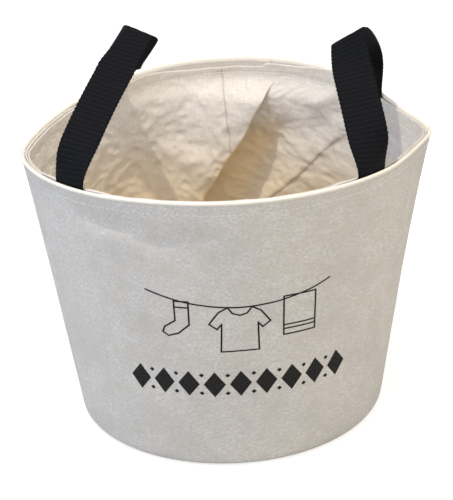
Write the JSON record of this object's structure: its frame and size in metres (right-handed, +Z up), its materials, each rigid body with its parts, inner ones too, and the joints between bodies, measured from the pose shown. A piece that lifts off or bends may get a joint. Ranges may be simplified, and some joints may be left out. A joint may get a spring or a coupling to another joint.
{
  "type": "peg bag",
  "caption": "Tapered oval canvas bucket for clothes pegs, with a loose calico lining, a faced rim and webbing loop handles that swing in and out.",
  "frame": {"origin": "middle of the oval base, on the surface that the bag stands on", "axes": "+Z up, -Y to the front panel, +X to the right, along the line between the side seams"},
  "size_m": [0.2598, 0.2002, 0.2728],
  "materials": {
    "canvas": "matt cotton duck, off-white",
    "facing": "matt folded cotton strip, greyish cream",
    "calico": "matt unbleached calico",
    "webbing": "black ribbed webbing"
  },
  "bodies": {
    "bag": {"front_panel": "canvas", "back_panel": "canvas", "base_panel": "canvas", "rim_facing": "facing", "lining_wall": "calico", "lining_base": "calico", "left_handle_front_end": "webbing", "left_handle_back_end": "webbing", "right_handle_front_end": "webbing", "right_handle_back_end": "webbing"},
    "left_handle": {"left_handle_loop": "webbing", "left_handle_front_bend": "webbing", "left_handle_back_bend": "webbing"},
    "right_handle": {"right_handle_loop": "webbing", "right_handle_front_bend": "webbing", "right_handle_back_bend": "webbing"}
  },
  "joints": [
    {"name": "left_handle_swing", "type": "hinge", "parent": "bag", "child": "left_handle", "pos_m": [-0.08834, 0.0093, 0.20411], "axis": [0.1671, 0.9857, 0.022], "range_deg": [-72, 55], "deforming": ["left_handle_front_bend", "left_handle_back_bend"]},
    {"name": "right_handle_swing", "type": "hinge", "parent": "bag", "child": "right_handle", "pos_m": [0.09176, -0.00752, 0.20593], "axis": [-0.1343, -0.9907, -0.0203], "range_deg": [-70, 72], "deforming": ["right_handle_front_bend", "right_handle_back_bend"]}
  ]
}
